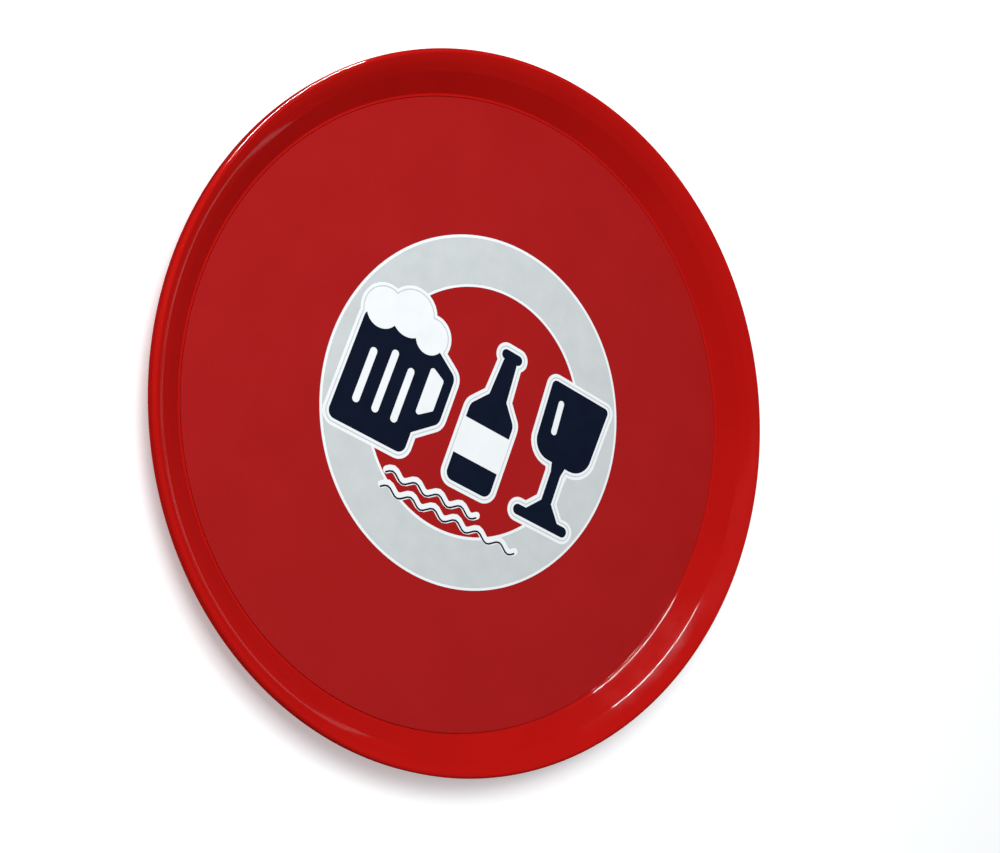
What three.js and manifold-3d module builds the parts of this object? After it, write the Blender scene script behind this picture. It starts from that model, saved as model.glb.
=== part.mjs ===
// A round plastic serving tray with a non-slip inlay and a printed centre.
// Millimetres, +Z up. The origin is the middle of the circle that the foot ring stands on.
// The artwork reads along +X, with +Y towards its top.

import * as THREE from 'three';
import { mergeVertices } from 'three/addons/utils/BufferGeometryUtils.js';
import Module from 'manifold-3d';

const wasm = await Module();
wasm.setup();

// Driving dimensions of the shell.
const trayDiameter = 330;
const rimRun = 9.3; // how far the flared rim reaches out from the shoulder
const rimRise = 7.2; // how far the rim climbs from the shoulder to its outer corner
const rimCrown = 0.9; // how far the middle of the rim bulges above a straight line
const wallRun = 8.0; // how far the inner wall leans out from the floor to the shoulder
const wallRise = 9.6; // how far the inner wall climbs above the serving surface
const wallThickness = 2.2;
const floorThickness = 2.4;
const skirtDrop = 6.8; // from the rim's outer corner down to the lip's lower edge
const skirtThickness = 2.0;

// Roundings of the shell's section.
const floorFillet = 1.6;
const shoulderRounding = 1.2;
const crownRounding = 20;
const lipRounding = 1.5;
const undersideRounding = 0.8;
const skirtRounding = 0.9;
const footRounding = 0.6;

// The foot ring and the gate mark under the floor.
const footHeight = 1.6;
const footWidth = 4.0;
const footInset = 8.0; // from the floor's outer corner to the outside of the foot ring
const gateRadius = 4.0;
const gateDepth = 0.5;

// The inlay and the film that bonds it into the shell's recess.
const inlayThickness = 1.0;
const filmThickness = 0.1;
const inlayEdgeGap = 0.2;
const filmSetback = 1.5; // how far the film stops short of the inlay's edge
const ledgeWidth = 0.3; // flat strip of the shell left between the recess and the fillet

// The printed artwork.
const inkThickness = 0.12;
const ringOuterRadius = 82.3;
const ringWidth = 24.3;
const ringEdge = 1.3; // white left showing on each side of the grey band
const outlineWidth = 3.2; // white round each motif
const keylineStart = 1.2; // from the motif to the grey keyline inside that white
const keylineWidth = 0.5;
const motifScale = 1.0;
const ruleHalfWidth = 1.8;
const ruleShadowHalfWidth = 0.4;
const ruleShadowDrop = 1.1; // from the middle of a rule down to its shadow line
const ruleAmplitude = 1.6;
const ruleWaveLength = 13;

// How finely round shapes are divided.
const turnSteps = 72;
const arcStep = THREE.MathUtils.degToRad(30);
const bandSteps = 32;
const ruleStepsPerWave = 8;
const mergeTolerance = 1e-5;
const tieTolerance = 1e-6;

// Heights and radii that follow from the driving dimensions.
const floorUnderside = footHeight;
const recessFloor = floorUnderside + floorThickness;
const inlayUnderside = recessFloor + filmThickness;
const servingSurface = inlayUnderside + inlayThickness;
const trayRadius = trayDiameter / 2;
const shoulderRadius = trayRadius - rimRun;
const wallFootRadius = shoulderRadius - wallRun;
const wallAngle = Math.atan2(wallRise, wallRun);
const filletReach = floorFillet * Math.tan(wallAngle / 2);
const recessRadius = wallFootRadius - filletReach - ledgeWidth;
const inlayRadius = recessRadius - inlayEdgeGap;

const glossRed = { color: '#b5100f', roughness: 0.18, metalness: 0 };
const matteRed = { color: '#a81a1c', roughness: 0.55, metalness: 0 };
const clearGlue = { color: '#d8d2c4', roughness: 0.4, metalness: 0 };
const whiteInk = { color: '#f3f5f6', roughness: 0.4, metalness: 0 };
const greyInk = { color: '#d3d8d8', roughness: 0.4, metalness: 0 };
const navyInk = { color: '#141c2b', roughness: 0.35, metalness: 0 };

const tray = new THREE.Group();

function addPiece(name, geometry, look) {
  const piece = new THREE.Mesh(geometry, new THREE.MeshStandardMaterial(look));
  piece.name = name;
  tray.add(piece);
}

// Solids for cutting and joining.

function toSolid(geometry) {
  geometry.deleteAttribute('normal');
  geometry.deleteAttribute('uv');
  const merged = mergeVertices(geometry, mergeTolerance);
  return new wasm.Manifold(
    new wasm.Mesh({
      numProp: 3,
      vertProperties: merged.attributes.position.array,
      triVerts: new Uint32Array(merged.index.array),
    }),
  );
}

function toGeometry(solid) {
  const mesh = solid.getMesh();
  const geometry = new THREE.BufferGeometry();
  geometry.setAttribute('position', new THREE.BufferAttribute(mesh.vertProperties, 3));
  geometry.setIndex(new THREE.BufferAttribute(mesh.triVerts, 1));
  geometry.computeVertexNormals();
  return geometry;
}

function join(solids) {
  return solids.reduce((all, solid) => all.add(solid));
}

// Turned sections. A corner is a point (radius, height) of the section with its rounding.

function corner(radius, height, rounding = 0) {
  return { at: new THREE.Vector2(radius, height), rounding };
}

// The arc that replaces one corner, between its neighbours before and after it.
// It takes at most half of a side that ends in another rounding.
function roundedCorner(before, here, after) {
  if (here.rounding === 0) return [here.at];
  const back = before.at.clone().sub(here.at);
  const ahead = after.at.clone().sub(here.at);
  const halfAngle = back.angleTo(ahead) / 2;
  const roomBefore = before.rounding > 0 ? back.length() / 2 : back.length();
  const roomAfter = after.rounding > 0 ? ahead.length() / 2 : ahead.length();
  const toTangent = Math.min(here.rounding / Math.tan(halfAngle), roomBefore, roomAfter);
  const toCentre = toTangent / Math.cos(halfAngle);
  back.normalize();
  ahead.normalize();
  const centre = back.clone().add(ahead).setLength(toCentre).add(here.at);
  const start = back.clone().setLength(toTangent).add(here.at).sub(centre);
  const end = ahead.clone().setLength(toTangent).add(here.at).sub(centre);
  const turn = Math.atan2(start.cross(end), start.dot(end));
  const steps = Math.max(1, Math.ceil(Math.abs(turn) / arcStep));
  const origin = new THREE.Vector2();
  return Array.from({ length: steps + 1 }, (_, i) =>
    start.clone().rotateAround(origin, (turn * i) / steps).add(centre),
  );
}

// Where a corner lies on a copy of its line moved sideways by a distance, to the right going outwards.
function offsetCorner(before, here, after, distance, rounding) {
  const normalIn = here.at.clone().sub(before.at).normalize().rotateAround(new THREE.Vector2(), -Math.PI / 2);
  const normalOut = after.at.clone().sub(here.at).normalize().rotateAround(new THREE.Vector2(), -Math.PI / 2);
  const shift = normalIn.clone().add(normalOut).multiplyScalar(distance / (1 + normalIn.dot(normalOut)));
  return { at: here.at.clone().add(shift), rounding };
}

// Turns an open section, listed from the axis at the bottom round to the axis at the top.
function turned(corners) {
  const points = corners.flatMap((here, i) => {
    const isEnd = i === 0 || i === corners.length - 1;
    return isEnd ? [here.at] : roundedCorner(corners[i - 1], here, corners[i + 1]);
  });
  return new THREE.LatheGeometry(points, turnSteps).rotateX(Math.PI / 2);
}

function disc(radius, bottom, thickness) {
  return turned([
    corner(0, bottom),
    corner(radius, bottom),
    corner(radius, bottom + thickness),
    corner(0, bottom + thickness),
  ]);
}

// The tray shell: floor, foot ring, wall, flared rim and turned-down lip in one moulding.

function shellGeometry() {
  const wallFoot = corner(wallFootRadius, servingSurface, floorFillet);
  const shoulder = corner(shoulderRadius, servingSurface + wallRise, shoulderRounding);
  const lip = corner(trayRadius, shoulder.at.y + rimRise, lipRounding);
  const crown = corner(shoulderRadius + rimRun / 2, shoulder.at.y + rimRise / 2 + rimCrown, crownRounding);
  const skirtEdge = lip.at.y - skirtDrop;
  const skirtInside = trayRadius - skirtThickness;

  const under = offsetCorner(wallFoot, shoulder, crown, wallThickness, undersideRounding);
  const underCrown = offsetCorner(shoulder, crown, lip, wallThickness, crownRounding);
  const rimSlope = (lip.at.y - crown.at.y) / (lip.at.x - crown.at.x);
  const underLip = corner(
    skirtInside,
    underCrown.at.y + (skirtInside - underCrown.at.x) * rimSlope,
    undersideRounding,
  );
  const floorToUnderside = servingSurface - floorUnderside;
  const outsideFoot = corner(
    wallFootRadius + wallThickness / Math.sin(wallAngle) - floorToUnderside / Math.tan(wallAngle),
    floorUnderside,
    floorFillet + wallThickness,
  );
  const footOutside = outsideFoot.at.x - footInset;
  const footInside = footOutside - footWidth;

  return turned([
    corner(0, floorUnderside + gateDepth),
    corner(gateRadius, floorUnderside + gateDepth),
    corner(gateRadius, floorUnderside),
    corner(footInside, floorUnderside),
    corner(footInside, 0, footRounding),
    corner(footOutside, 0, footRounding),
    corner(footOutside, floorUnderside),
    outsideFoot,
    under,
    underCrown,
    underLip,
    corner(skirtInside, skirtEdge, skirtRounding),
    corner(trayRadius, skirtEdge, skirtRounding),
    lip,
    crown,
    shoulder,
    wallFoot,
    corner(recessRadius, servingSurface),
    corner(recessRadius, recessFloor),
    corner(0, recessFloor),
  ]);
}

// Ink. Every printed shape is a flat plate, on the inlay (layer 0) or on the white ground (layer 1).

function inkPlate(shape, layer) {
  const plate = new THREE.ExtrudeGeometry(shape, {
    depth: inkThickness,
    bevelEnabled: false,
    curveSegments: turnSteps,
  });
  plate.translate(0, 0, servingSurface + layer * inkThickness);
  return toSolid(plate);
}

// The outline that a tight band takes round a set of discs, each [x, y, radius].
// Growing the discs moves the whole outline outwards by the same distance.
function bandRound(discs, place, grow) {
  const placed = discs.map(([x, y, radius]) => ({
    centre: new THREE.Vector2(x, y).multiplyScalar(motifScale).add(place),
    radius: radius * motifScale + grow,
  }));
  const outline = [];
  for (let step = 0; step < bandSteps; step += 1) {
    const angle = (step / bandSteps) * 2 * Math.PI;
    const direction = new THREE.Vector2(Math.cos(angle), Math.sin(angle));
    const onwards = new THREE.Vector2(-direction.y, direction.x);
    const reach = (one) => one.centre.dot(direction) + one.radius;
    const farthest = Math.max(...placed.map(reach));
    const touching = placed.filter((one) => farthest - reach(one) < tieTolerance);
    touching.sort((a, b) => a.centre.dot(onwards) - b.centre.dot(onwards));
    for (const one of touching) {
      outline.push(direction.clone().multiplyScalar(one.radius).add(one.centre));
    }
  }
  return new THREE.Shape(outline);
}

function ringShape(outerRadius, innerRadius) {
  const ring = new THREE.Shape();
  ring.absarc(0, 0, outerRadius, 0, 2 * Math.PI);
  const middle = new THREE.Path();
  middle.absarc(0, 0, innerRadius, 0, 2 * Math.PI);
  ring.holes.push(middle);
  return ring;
}

// A wavy ribbon of even width with round ends, running along X from its left end.
function ruleShape(left, height, waves, halfWidth) {
  const length = waves * ruleWaveLength;
  const pitch = (2 * Math.PI) / ruleWaveLength;
  const side = (share, sign) => {
    const along = share * length;
    const slope = ruleAmplitude * pitch * Math.cos(along * pitch);
    const normal = new THREE.Vector2(-slope, 1).setLength(sign * halfWidth);
    return new THREE.Vector2(left + along, height + ruleAmplitude * Math.sin(along * pitch)).add(normal);
  };
  const cap = (share, sign) => {
    const edge = side(share, sign);
    const middle = edge.clone().add(side(share, -sign)).multiplyScalar(0.5);
    return Array.from({ length: ruleStepsPerWave - 1 }, (_, i) =>
      edge.clone().rotateAround(middle, (-Math.PI * (i + 1)) / ruleStepsPerWave),
    );
  };
  const steps = waves * ruleStepsPerWave;
  const shares = Array.from({ length: steps + 1 }, (_, i) => i / steps);
  const top = shares.map((share) => side(share, 1));
  const bottom = shares.toReversed().map((share) => side(share, -1));
  return new THREE.Shape([...top, ...cap(1, 1), ...bottom, ...cap(0, -1)]);
}

// The motifs: each is a place, the bands that make its body, the bands that stay white
// beside the body, and the bands cut out of the body. Sizes are at motifScale 1.

const mug = {
  name: 'mug',
  place: new THREE.Vector2(-50, 0),
  body: [
    [[-17, -31, 4], [17, -31, 4], [-18, 14, 3], [18, 14, 3]],
    [[18, -20, 5], [28, -12, 5], [28, 6, 5], [18, 12, 5]],
  ],
  white: [[[-13, 21, 9]], [[1, 25, 10.5]], [[14, 20, 8]]],
  cut: [
    [[21, -13.5, 1.5], [26.5, -9.5, 1.5], [26.5, 4, 1.5], [21, 6.5, 1.5]],
    [[-10.5, -22, 1.9], [-10.5, 1, 1.9]],
    [[0, -22, 1.9], [0, 5, 1.9]],
    [[10.5, -22, 1.9], [10.5, 1, 1.9]],
  ],
};

const bottle = {
  name: 'bottle',
  place: new THREE.Vector2(8, 0),
  body: [
    [[-9, -31, 4], [9, -31, 4], [-7.5, 0, 5.5], [7.5, 0, 5.5], [0, 9, 5]],
    [[0, 6, 5.5], [0, 28, 4]],
    [[-3.6, 32, 2.4], [3.6, 32, 2.4]],
  ],
  white: [],
  cut: [[[-13, -21, 1.4], [13, -21, 1.4], [-13, -6, 1.4], [13, -6, 1.4]]],
};

const goblet = {
  name: 'goblet',
  place: new THREE.Vector2(52, 0),
  body: [
    [[-15.5, 31, 2.5], [15.5, 31, 2.5], [-7, 6, 10], [7, 6, 10]],
    [[0, -4, 4], [0, -8, 3]],
    [[0, -8, 3], [0, -30, 3]],
    [[0, -24, 3], [-8, -31, 2], [8, -31, 2]],
    [[-14, -32.5, 2.5], [14, -32.5, 2.5]],
  ],
  white: [],
  cut: [[[-9.5, 24, 1.7], [-8.5, 10, 1.7]]],
};

const motifs = [mug, bottle, goblet];

function bandsAround(motif, bands, layer, grow) {
  return join(bands.map((discs) => inkPlate(bandRound(discs, motif.place, grow), layer)));
}

function motifOutline(motif, layer, grow) {
  return bandsAround(motif, [...motif.body, ...motif.white], layer, grow);
}

function motifInk(motif) {
  const body = bandsAround(motif, motif.body, 1, 0);
  const cuts = [...motif.cut, ...motif.white];
  return body.subtract(bandsAround(motif, cuts, 1, 0));
}

function motifKeyline(motif) {
  const outside = motifOutline(motif, 1, keylineStart + keylineWidth);
  return outside.subtract(motifOutline(motif, 1, keylineStart));
}

const rules = [
  { left: -34, height: -44.5, waves: 4 },
  { left: -34, height: -51.5, waves: 6 },
];

function rulePlate(rule, layer) {
  return inkPlate(ruleShape(rule.left, rule.height, rule.waves, ruleHalfWidth), layer);
}

function ruleShadow(rule) {
  const shadow = ruleShape(rule.left, rule.height - ruleShadowDrop, rule.waves, ruleShadowHalfWidth);
  return inkPlate(shadow, 1);
}

function whiteGround() {
  const ring = inkPlate(ringShape(ringOuterRadius, ringOuterRadius - ringWidth), 0);
  const outlines = motifs.map((motif) => motifOutline(motif, 0, outlineWidth));
  return join([ring, ...outlines, ...rules.map((rule) => rulePlate(rule, 0))]);
}

function greyBand() {
  const outerRadius = ringOuterRadius - ringEdge;
  const innerRadius = ringOuterRadius - ringWidth + ringEdge;
  const band = inkPlate(ringShape(outerRadius, innerRadius), 1);
  const outlines = motifs.map((motif) => motifOutline(motif, 1, outlineWidth));
  return band.subtract(join([...outlines, ...rules.map((rule) => rulePlate(rule, 1))]));
}

// Each separate patch of one ink is a piece of its own, the largest first.
function addInk(name, solid, look) {
  const patches = solid.decompose().sort((a, b) => b.volume() - a.volume());
  patches.forEach((patch, i) => addPiece(`${name}_${i + 1}`, toGeometry(patch), look));
}

addPiece('tray_shell', shellGeometry(), glossRed);
addPiece('inlay_bond_film', disc(inlayRadius - filmSetback, recessFloor, filmThickness), clearGlue);
addPiece('non_slip_inlay', disc(inlayRadius, inlayUnderside, inlayThickness), matteRed);
addInk('white_ink', whiteGround(), whiteInk);
addInk('grey_ink_band', greyBand(), greyInk);
for (const motif of motifs) {
  addInk(`grey_ink_keyline_${motif.name}`, motifKeyline(motif), greyInk);
  addInk(`navy_ink_${motif.name}`, motifInk(motif), navyInk);
}
rules.forEach((rule, i) => addInk(`navy_ink_rule_${i + 1}`, ruleShadow(rule), navyInk));

export default tray;
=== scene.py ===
"""A round plastic serving tray with a non-slip inlay and a printed centre, as a product shot."""
import math

import bpy
from mathutils import Matrix, Vector


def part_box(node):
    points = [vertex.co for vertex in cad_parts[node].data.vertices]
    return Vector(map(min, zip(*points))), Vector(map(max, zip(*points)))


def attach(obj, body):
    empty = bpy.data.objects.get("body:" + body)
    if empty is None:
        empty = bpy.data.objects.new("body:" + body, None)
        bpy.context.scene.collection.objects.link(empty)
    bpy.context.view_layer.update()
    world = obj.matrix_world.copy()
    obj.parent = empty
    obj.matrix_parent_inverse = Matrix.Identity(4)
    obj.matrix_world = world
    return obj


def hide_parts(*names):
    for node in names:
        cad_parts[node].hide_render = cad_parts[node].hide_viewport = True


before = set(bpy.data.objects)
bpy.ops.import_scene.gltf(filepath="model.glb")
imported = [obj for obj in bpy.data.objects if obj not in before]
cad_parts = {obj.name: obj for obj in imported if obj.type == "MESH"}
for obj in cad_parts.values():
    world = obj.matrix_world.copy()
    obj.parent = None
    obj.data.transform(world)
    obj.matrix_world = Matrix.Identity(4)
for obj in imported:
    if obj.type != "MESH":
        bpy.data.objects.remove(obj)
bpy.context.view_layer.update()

MM = 0.001

# The shell's section. Overall sizes come from the frame, the rest are the moulding's own values.
SHELL_LOW, SHELL_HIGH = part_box("tray_shell")
INLAY_LOW, INLAY_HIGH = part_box("non_slip_inlay")
FILM_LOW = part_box("inlay_bond_film")[0]
TRAY_RADIUS = SHELL_HIGH.x
SERVING_SURFACE = INLAY_HIGH.z
RECESS_FLOOR = FILM_LOW.z
RIM_RUN = 9.3 * MM
RIM_RISE = 7.2 * MM
RIM_CROWN = 0.9 * MM
WALL_RUN = 8.0 * MM
WALL_RISE = 9.6 * MM
WALL_THICKNESS = 2.2 * MM
SKIRT_DROP = 6.8 * MM
SKIRT_THICKNESS = 2.0 * MM
FLOOR_FILLET = 1.6 * MM
SHOULDER_ROUNDING = 1.2 * MM
CROWN_ROUNDING = 20 * MM
LIP_ROUNDING = 1.5 * MM
UNDERSIDE_ROUNDING = 0.8 * MM
SKIRT_ROUNDING = 0.95 * MM
FOOT_HEIGHT = 1.6 * MM
FOOT_WIDTH = 4.0 * MM
FOOT_INSET = 8.0 * MM
FOOT_ROUNDING = 0.6 * MM
SEAM_ROUNDING = 0.15 * MM
LEDGE_WIDTH = 0.3 * MM

# Marks that the mould leaves on the underside. Each ejector circle is a radius and how many pins lie on it.
GATE_RADIUS = 4.0 * MM
GATE_DEPTH = 0.5 * MM
GATE_STUB_RADIUS = 1.3 * MM
GATE_STUB_HEIGHT = 0.35 * MM
EJECTOR_RADIUS = 4.5 * MM
EJECTOR_HEIGHT = 0.12 * MM
EJECTOR_CIRCLES = ((55 * MM, 4), (115 * MM, 8))

# How finely round shapes are divided, and how much a face's area counts in the smoothed normals.
TURN_STEPS = 288
SMALL_TURN_STEPS = 48
ARC_STEP = math.radians(7)
FEWEST_ARC_STEPS = 2
NORMAL_WEIGHT = 100


# Turned sections

class Corner:
    """A point (radius, height) of a turned section, with the rounding that it gets."""

    def __init__(self, radius, height, rounding=0.0):
        self.at = Vector((radius, height))
        self.rounding = rounding


def rounded(before, here, after):
    """The arc that replaces one corner. It takes at most half of a side that ends in another rounding."""
    if here.rounding == 0:
        return [here.at]
    back = before.at - here.at
    ahead = after.at - here.at
    half_angle = back.angle(ahead) / 2
    room_before = back.length / 2 if before.rounding else back.length
    room_after = ahead.length / 2 if after.rounding else ahead.length
    to_tangent = min(here.rounding / math.tan(half_angle), room_before, room_after)
    back.normalize()
    ahead.normalize()
    centre = here.at + (back + ahead).normalized() * to_tangent / math.cos(half_angle)
    start = here.at + back * to_tangent - centre
    end = here.at + ahead * to_tangent - centre
    turn = math.atan2(start.x * end.y - start.y * end.x, start.dot(end))
    steps = max(FEWEST_ARC_STEPS, math.ceil(abs(turn) / ARC_STEP))
    return [centre + turned_by(start, turn * i / steps) for i in range(steps + 1)]


def turned_by(vector, angle):
    cos, sin = math.cos(angle), math.sin(angle)
    return Vector((vector.x * cos - vector.y * sin, vector.x * sin + vector.y * cos))


def offset_corner(before, here, after, distance, rounding):
    """Where a corner lies on a copy of its line moved sideways, to the right going outwards."""
    normal_in = turned_by((here.at - before.at).normalized(), -math.pi / 2)
    normal_out = turned_by((after.at - here.at).normalized(), -math.pi / 2)
    shift = (normal_in + normal_out) * distance / (1 + normal_in.dot(normal_out))
    moved = here.at + shift
    return Corner(moved.x, moved.y, rounding)


def section_points(corners):
    """The section's outline, from the axis at the bottom round to the axis at the top."""
    points = [corners[0].at]
    for before, here, after in zip(corners, corners[1:], corners[2:]):
        points += rounded(before, here, after)
    return points + [corners[-1].at]


def turned(points, steps, centre=(0.0, 0.0)):
    """Vertices and faces of a section turned about the vertical line through centre."""
    rings = points[1:-1]
    vertices = [(centre[0], centre[1], points[0].y)]
    for point in rings:
        for step in range(steps):
            angle = 2 * math.pi * step / steps
            x = centre[0] + point.x * math.cos(angle)
            y = centre[1] + point.x * math.sin(angle)
            vertices.append((x, y, point.y))
    vertices.append((centre[0], centre[1], points[-1].y))
    last_ring = 1 + (len(rings) - 1) * steps
    faces = []
    for step in range(steps):
        after = (step + 1) % steps
        faces.append((0, 1 + after, 1 + step))
        for ring in range(len(rings) - 1):
            low = 1 + ring * steps
            high = low + steps
            faces.append((low + step, low + after, high + after, high + step))
        faces.append((last_ring + step, last_ring + after, len(vertices) - 1))
    return vertices, faces


def make_piece(name, parts, material, replaced):
    """One smooth piece from lists of vertices and faces. It rides on the only body."""
    vertices, faces = [], []
    for part_vertices, part_faces in parts:
        first = len(vertices)
        vertices += part_vertices
        faces += [tuple(first + index for index in face) for face in part_faces]
    mesh = bpy.data.meshes.new(name)
    mesh.from_pydata(vertices, [], faces)
    mesh.shade_smooth()
    mesh.materials.append(material)
    piece = bpy.data.objects.new(name, mesh)
    bpy.context.scene.collection.objects.link(piece)
    normals = piece.modifiers.new("even_normals", "WEIGHTED_NORMAL")
    normals.weight = NORMAL_WEIGHT
    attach(piece, "root")
    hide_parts(replaced)
    return piece


def shell_section():
    wall_angle = math.atan2(WALL_RISE, WALL_RUN)
    shoulder_radius = TRAY_RADIUS - RIM_RUN
    wall_foot = Corner(shoulder_radius - WALL_RUN, SERVING_SURFACE, FLOOR_FILLET)
    shoulder = Corner(shoulder_radius, SERVING_SURFACE + WALL_RISE, SHOULDER_ROUNDING)
    lip = Corner(TRAY_RADIUS, shoulder.at.y + RIM_RISE, LIP_ROUNDING)
    crown = Corner(shoulder_radius + RIM_RUN / 2, shoulder.at.y + RIM_RISE / 2 + RIM_CROWN, CROWN_ROUNDING)
    skirt_edge = lip.at.y - SKIRT_DROP
    skirt_inside = TRAY_RADIUS - SKIRT_THICKNESS

    under = offset_corner(wall_foot, shoulder, crown, WALL_THICKNESS, UNDERSIDE_ROUNDING)
    under_crown = offset_corner(shoulder, crown, lip, WALL_THICKNESS, CROWN_ROUNDING)
    rim_slope = (lip.at.y - crown.at.y) / (lip.at.x - crown.at.x)
    under_lip_height = under_crown.at.y + (skirt_inside - under_crown.at.x) * rim_slope
    floor_underside = SHELL_LOW.z + FOOT_HEIGHT
    floor_drop = SERVING_SURFACE - floor_underside
    outside_foot = Corner(
        wall_foot.at.x + WALL_THICKNESS / math.sin(wall_angle) - floor_drop / math.tan(wall_angle),
        floor_underside,
        FLOOR_FILLET + WALL_THICKNESS,
    )
    foot_outside = outside_foot.at.x - FOOT_INSET
    foot_inside = foot_outside - FOOT_WIDTH
    recess_radius = wall_foot.at.x - FLOOR_FILLET * math.tan(wall_angle / 2) - LEDGE_WIDTH
    return section_points([
        Corner(0, floor_underside + GATE_DEPTH),
        Corner(GATE_RADIUS, floor_underside + GATE_DEPTH, SEAM_ROUNDING),
        Corner(GATE_RADIUS, floor_underside, SEAM_ROUNDING),
        Corner(foot_inside, floor_underside, FOOT_ROUNDING),
        Corner(foot_inside, SHELL_LOW.z, FOOT_ROUNDING),
        Corner(foot_outside, SHELL_LOW.z, FOOT_ROUNDING),
        Corner(foot_outside, floor_underside, FOOT_ROUNDING),
        outside_foot,
        under,
        under_crown,
        Corner(skirt_inside, under_lip_height, UNDERSIDE_ROUNDING),
        Corner(skirt_inside, skirt_edge, SKIRT_ROUNDING),
        Corner(TRAY_RADIUS, skirt_edge, SKIRT_ROUNDING),
        lip,
        crown,
        shoulder,
        wall_foot,
        Corner(recess_radius, SERVING_SURFACE, SEAM_ROUNDING),
        Corner(recess_radius, RECESS_FLOOR),
        Corner(0, RECESS_FLOOR),
    ])


def stud(radius, base, height, centre=(0.0, 0.0)):
    """A low round stud that stands down from the underside, sunk a little into it."""
    sunk = base + height
    return turned(
        section_points([
            Corner(0, base - height),
            Corner(radius, base - height, height / 2),
            Corner(radius, sunk),
            Corner(0, sunk),
        ]),
        SMALL_TURN_STEPS,
        centre,
    )


def mould_marks():
    """The gate stub in its dimple and the marks of the ejector pins."""
    floor_underside = SHELL_LOW.z + FOOT_HEIGHT
    marks = [stud(GATE_STUB_RADIUS, floor_underside + GATE_DEPTH, GATE_STUB_HEIGHT)]
    for circle, count in EJECTOR_CIRCLES:
        for i in range(count):
            angle = 2 * math.pi * (i + 0.5) / count
            centre = (circle * math.cos(angle), circle * math.sin(angle))
            marks.append(stud(EJECTOR_RADIUS, floor_underside, EJECTOR_HEIGHT, centre))
    return marks


def make_shell(material):
    parts = [turned(shell_section(), TURN_STEPS)] + mould_marks()
    return make_piece("moulded_shell", parts, material, "tray_shell")


def make_inlay(material):
    section = section_points([
        Corner(0, INLAY_LOW.z),
        Corner(INLAY_HIGH.x, INLAY_LOW.z, SEAM_ROUNDING),
        Corner(INLAY_HIGH.x, INLAY_HIGH.z, SEAM_ROUNDING),
        Corner(0, INLAY_HIGH.z),
    ])
    parts = [turned(section, TURN_STEPS)]
    return make_piece("grained_inlay", parts, material, "non_slip_inlay")


# Materials

# The two linear colours that each material drifts between.
GLOSS_REDS = ((0.425, 0.0062, 0.0048), (0.455, 0.0070, 0.0054))
MATTE_REDS = ((0.345, 0.0070, 0.0072), (0.365, 0.0082, 0.0084))
WHITE_INKS = ((0.80, 0.82, 0.83), (0.84, 0.86, 0.87))
GREY_INKS = ((0.54, 0.57, 0.57), (0.58, 0.61, 0.61))
NAVY_INKS = ((0.0045, 0.008, 0.020), (0.0055, 0.0095, 0.024))
GLUE_TINTS = ((0.68, 0.64, 0.55), (0.75, 0.72, 0.64))
FLOOR_WHITES = ((0.86, 0.86, 0.86), (0.88, 0.88, 0.88))

# The roughness that each material varies between.
GLOSS_ROUGHNESS = (0.05, 0.08)
INLAY_ROUGHNESS = (0.34, 0.44)
PALE_INK_ROUGHNESS = (0.34, 0.42)
NAVY_INK_ROUGHNESS = (0.28, 0.36)
GLUE_ROUGHNESS = (0.3, 0.5)
FLOOR_ROUGHNESS = 0.9

# Reflection of the two dull surfaces, and the floor's own glow that keeps it white.
INLAY_SPECULAR = 0.36
FLOOR_SPECULAR = 0.1
FLOOR_GLOW = 0.3
FLOOR_GLOW_COLOUR = (1, 1, 1, 1)

# How large and how deep the surface detail is.
FLOW_MARK_SIZE = 50 * MM
HANDLING_SIZE = 12 * MM
ORANGE_PEEL_SIZE = 6 * MM
ORANGE_PEEL_DEPTH = 0.008 * MM
SCUFF_SIZE = 1.1 * MM
SCUFF_DEPTH = 0.001 * MM
SCUFF_STRETCH = (1, 1, 0.2)
INLAY_MOTTLE_SIZE = 30 * MM
INLAY_SHEEN_SIZE = 1.6 * MM
GRAIN_SIZE = 0.8 * MM
INLAY_GRAIN_DEPTH = 0.03 * MM
INK_GRAIN_DEPTH = 0.012 * MM
INK_MOTTLE_SIZE = 8 * MM
INK_SHEEN_SIZE = 2 * MM
GLUE_CLOUD_SIZE = 4 * MM
GLUE_SHEEN_SIZE = 3 * MM
BUBBLE_SIZE = 2 * MM
BUBBLE_DEPTH = 0.04 * MM
FLOOR_CLOUD_SIZE = 400 * MM

# The middle part of a noise, which is stretched to the full range that it drives.
NOISE_FROM = 0.3
NOISE_TO = 0.7

# Sockets of a Mix node in colour mode, where several share a name.
MIX_FACTOR = 0
MIX_FIRST = 6
MIX_SECOND = 7
MIX_RESULT = 2


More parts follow.
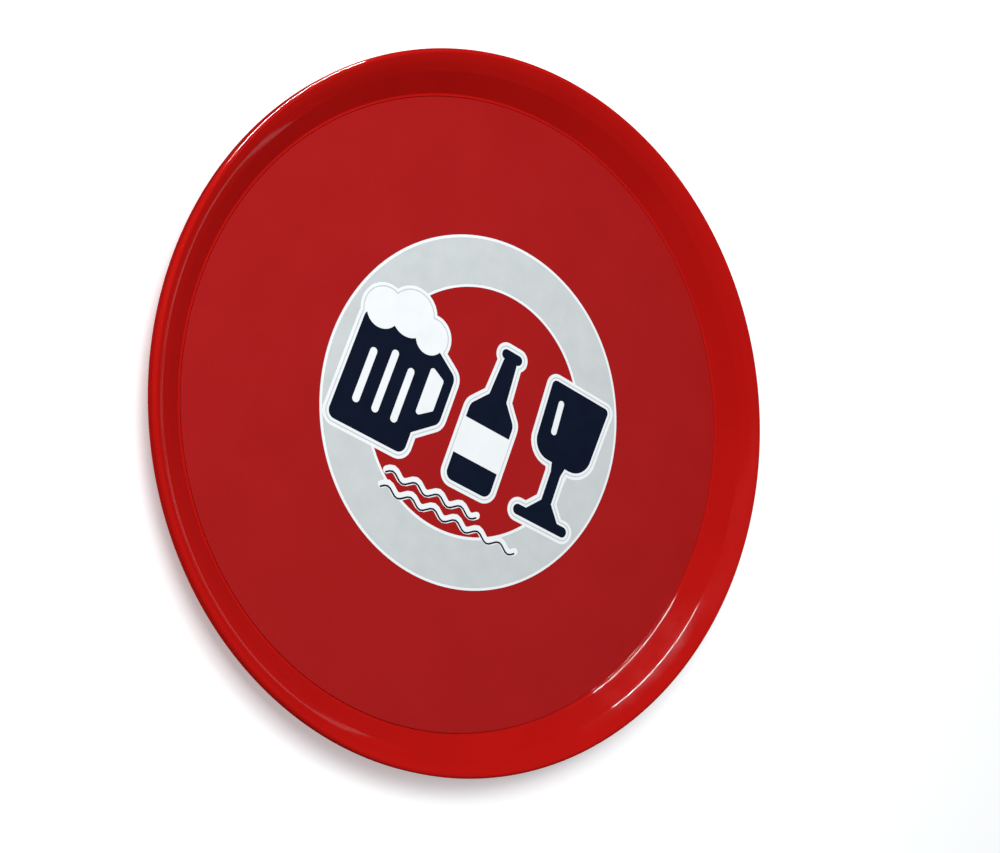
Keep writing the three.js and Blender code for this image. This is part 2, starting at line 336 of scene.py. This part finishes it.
class Surface:
    """A node material on object coordinates, with helpers for layered procedural detail."""

    def __init__(self, name):
        self.material = bpy.data.materials.new(name)
        self.material.use_nodes = True
        self.nodes = self.material.node_tree.nodes
        self.links = self.material.node_tree.links
        self.shader = self.nodes["Principled BSDF"]
        self.place = self.nodes.new("ShaderNodeTexCoord").outputs["Object"]
        self.normal = None

    def noise(self, size, detail=3, stretch=None):
        """Noise whose features are about size metres across."""
        node = self.nodes.new("ShaderNodeTexNoise")
        node.inputs["Scale"].default_value = 1 / size
        node.inputs["Detail"].default_value = detail
        place = self.place
        if stretch:
            mapping = self.nodes.new("ShaderNodeMapping")
            mapping.inputs["Scale"].default_value = stretch
            self.links.new(place, mapping.inputs["Vector"])
            place = mapping.outputs["Vector"]
        self.links.new(place, node.inputs["Vector"])
        return node.outputs["Fac"]

    def spread(self, value, low, high):
        """Maps the middle of a noise onto low to high."""
        node = self.nodes.new("ShaderNodeMapRange")
        node.inputs["From Min"].default_value = NOISE_FROM
        node.inputs["From Max"].default_value = NOISE_TO
        node.inputs["To Min"].default_value = low
        node.inputs["To Max"].default_value = high
        self.links.new(value, node.inputs["Value"])
        return node.outputs["Result"]

    def drift_colour(self, colours, noise):
        """Lets the base colour drift between two colours."""
        first, second = colours
        node = self.nodes.new("ShaderNodeMix")
        node.data_type = "RGBA"
        node.inputs[MIX_FIRST].default_value = (*first, 1)
        node.inputs[MIX_SECOND].default_value = (*second, 1)
        self.links.new(self.spread(noise, 0, 1), node.inputs[MIX_FACTOR])
        self.links.new(node.outputs[MIX_RESULT], self.shader.inputs["Base Color"])

    def vary_roughness(self, limits, noise):
        self.links.new(self.spread(noise, *limits), self.shader.inputs["Roughness"])

    def add_bump(self, height, depth):
        """Stacks a bump of the given depth in metres on the ones before it."""
        node = self.nodes.new("ShaderNodeBump")
        node.inputs["Distance"].default_value = depth
        self.links.new(height, node.inputs["Height"])
        if self.normal:
            self.links.new(self.normal, node.inputs["Normal"])
        self.normal = node.outputs["Normal"]
        self.links.new(self.normal, self.shader.inputs["Normal"])


def gloss_red():
    """Polished moulded plastic: a little orange peel, faint flow marks and hairline scuffs."""
    surface = Surface("gloss_red_plastic")
    surface.drift_colour(GLOSS_REDS, surface.noise(FLOW_MARK_SIZE))
    surface.vary_roughness(GLOSS_ROUGHNESS, surface.noise(HANDLING_SIZE, detail=5))
    surface.add_bump(surface.noise(ORANGE_PEEL_SIZE, detail=2), ORANGE_PEEL_DEPTH)
    surface.add_bump(surface.noise(SCUFF_SIZE, detail=1, stretch=SCUFF_STRETCH), SCUFF_DEPTH)
    return surface.material


def matte_red():
    """The inlay: a fine even grain, a faint mottle and slightly shinier high spots."""
    surface = Surface("matte_red_plastic")
    surface.drift_colour(MATTE_REDS, surface.noise(INLAY_MOTTLE_SIZE, detail=4))
    surface.vary_roughness(INLAY_ROUGHNESS, surface.noise(INLAY_SHEEN_SIZE))
    surface.shader.inputs["Specular IOR Level"].default_value = INLAY_SPECULAR
    surface.add_bump(surface.noise(GRAIN_SIZE), INLAY_GRAIN_DEPTH)
    return surface.material


def ink(name, colours, roughness):
    """Screen ink: an even satin film that lets the grain beneath show through."""
    surface = Surface(name)
    surface.drift_colour(colours, surface.noise(INK_MOTTLE_SIZE, detail=4))
    surface.vary_roughness(roughness, surface.noise(INK_SHEEN_SIZE))
    surface.add_bump(surface.noise(GRAIN_SIZE), INK_GRAIN_DEPTH)
    return surface.material


def clear_glue():
    """The adhesive under the inlay, milky with fine bubbles."""
    surface = Surface("clear_adhesive")
    surface.drift_colour(GLUE_TINTS, surface.noise(GLUE_CLOUD_SIZE, detail=4))
    surface.vary_roughness(GLUE_ROUGHNESS, surface.noise(GLUE_SHEEN_SIZE, detail=2))
    surface.add_bump(surface.noise(BUBBLE_SIZE), BUBBLE_DEPTH)
    return surface.material


def floor_white():
    """The studio floor: dull and white, with a slight glow of its own."""
    surface = Surface("studio_floor")
    surface.drift_colour(FLOOR_WHITES, surface.noise(FLOOR_CLOUD_SIZE, detail=2))
    surface.shader.inputs["Roughness"].default_value = FLOOR_ROUGHNESS
    surface.shader.inputs["Emission Color"].default_value = FLOOR_GLOW_COLOUR
    surface.shader.inputs["Emission Strength"].default_value = FLOOR_GLOW
    surface.shader.inputs["Specular IOR Level"].default_value = FLOOR_SPECULAR
    return surface.material


def coat(prefix, material):
    """Gives its material to every CAD node whose name starts with the prefix."""
    for name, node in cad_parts.items():
        if name.startswith(prefix):
            node.data.materials.clear()
            node.data.materials.append(material)


# Studio. Angles are in degrees, lengths in metres.

FLOOR_REACH = 20.0

CAMERA_LENS = 57.1
CAMERA_AZIMUTH = 210.16
CAMERA_ELEVATION = 54.97
CAMERA_ROLL = 83.77
CAMERA_DISTANCE = 0.7392
CAMERA_AIM = Vector((0.01423, -0.00093, SERVING_SURFACE))

WORLD_COLOUR = (0.92, 0.96, 1, 1)
WORLD_STRENGTH = 0.28

# The lights: where each stands, how large it is, and its brightness as seen from the tray.
SOFTBOX = {"azimuth": 150, "elevation": 62, "distance": 1.15, "size": (0.7, 0.7), "radiance": 9.6}
SOFTBOX_COLOUR = (0.97, 0.99, 1)
HIGHLIGHT_STRIP = {
    "azimuth": 120,
    "elevation": 28.5,
    "distance": 1.7,
    "size": (1.0, 0.09),
    "radiance": 240,
    "roll": 24,
}


def toward(azimuth, elevation):
    """Unit vector towards a direction in degrees; azimuth 0 is +X, anticlockwise from above."""
    azimuth, elevation = math.radians(azimuth), math.radians(elevation)
    flat = math.cos(elevation)
    return Vector((flat * math.cos(azimuth), flat * math.sin(azimuth), math.sin(elevation)))


def place_facing_back(item, aim, back, distance, roll):
    """Puts a camera or light at a distance from its aim along back, looking at the aim, rolled by degrees."""
    roll = math.radians(roll)
    level = Vector((0, 0, 1)).cross(back).normalized()
    upright = back.cross(level)
    right = level * math.cos(roll) + upright * math.sin(roll)
    item.location = aim + back * distance
    item.rotation_mode = "QUATERNION"
    item.rotation_quaternion = Matrix((right, back.cross(right), back)).transposed().to_quaternion()
    bpy.context.scene.collection.objects.link(item)


def make_camera():
    data = bpy.data.cameras.new("camera")
    data.lens = CAMERA_LENS
    camera = bpy.data.objects.new("camera", data)
    back = toward(CAMERA_AZIMUTH, CAMERA_ELEVATION)
    place_facing_back(camera, CAMERA_AIM, back, CAMERA_DISTANCE, CAMERA_ROLL)
    bpy.context.scene.camera = camera


def make_light(name, azimuth, elevation, distance, size, radiance, roll=0.0):
    """A rectangular light aimed at the middle of the tray."""
    data = bpy.data.lights.new(name, "AREA")
    data.shape = "RECTANGLE"
    data.size, data.size_y = size
    data.energy = radiance * math.pi * data.size * data.size_y
    light = bpy.data.objects.new(name, data)
    back = toward(azimuth, elevation)
    place_facing_back(light, Vector((0, 0, SERVING_SURFACE)), back, distance, roll)
    return light


def light_only(light, piece):
    """Limits a light to one piece, so that its glare stays off the others."""
    lit = bpy.data.collections.new(light.name + "_lit")
    lit.objects.link(piece)
    light.light_linking.receiver_collection = lit


def make_world():
    world = bpy.data.worlds.new("studio")
    bpy.context.scene.world = world
    world.use_nodes = True
    background = world.node_tree.nodes["Background"]
    background.inputs["Color"].default_value = WORLD_COLOUR
    background.inputs["Strength"].default_value = WORLD_STRENGTH
    world.cycles_visibility.glossy = False


def make_floor():
    mesh = bpy.data.meshes.new("studio_floor")
    corners = [
        (-FLOOR_REACH, -FLOOR_REACH, SHELL_LOW.z),
        (FLOOR_REACH, -FLOOR_REACH, SHELL_LOW.z),
        (FLOOR_REACH, FLOOR_REACH, SHELL_LOW.z),
        (-FLOOR_REACH, FLOOR_REACH, SHELL_LOW.z),
    ]
    mesh.from_pydata(corners, [], [(0, 1, 2, 3)])
    mesh.materials.append(floor_white())
    floor = bpy.data.objects.new("studio_floor", mesh)
    floor.visible_glossy = False
    bpy.context.scene.collection.objects.link(floor)


def make_studio(shell):
    """Pale floor and surroundings, a softbox for the light and a strip for the highlights on the shell."""
    bpy.context.scene.view_settings.view_transform = "Standard"
    make_world()
    make_floor()
    softbox = make_light("softbox", **SOFTBOX)
    softbox.data.color = SOFTBOX_COLOUR
    softbox.visible_glossy = False
    strip = make_light("highlight_strip", **HIGHLIGHT_STRIP)
    strip.visible_diffuse = False
    light_only(strip, shell)


moulded_shell = make_shell(gloss_red())
make_inlay(matte_red())
coat("white_ink", ink("white_ink", WHITE_INKS, PALE_INK_ROUGHNESS))
coat("grey_ink", ink("grey_ink", GREY_INKS, PALE_INK_ROUGHNESS))
coat("navy_ink", ink("navy_ink", NAVY_INKS, NAVY_INK_ROUGHNESS))
coat("inlay_bond_film", clear_glue())
make_camera()
make_studio(moulded_shell)
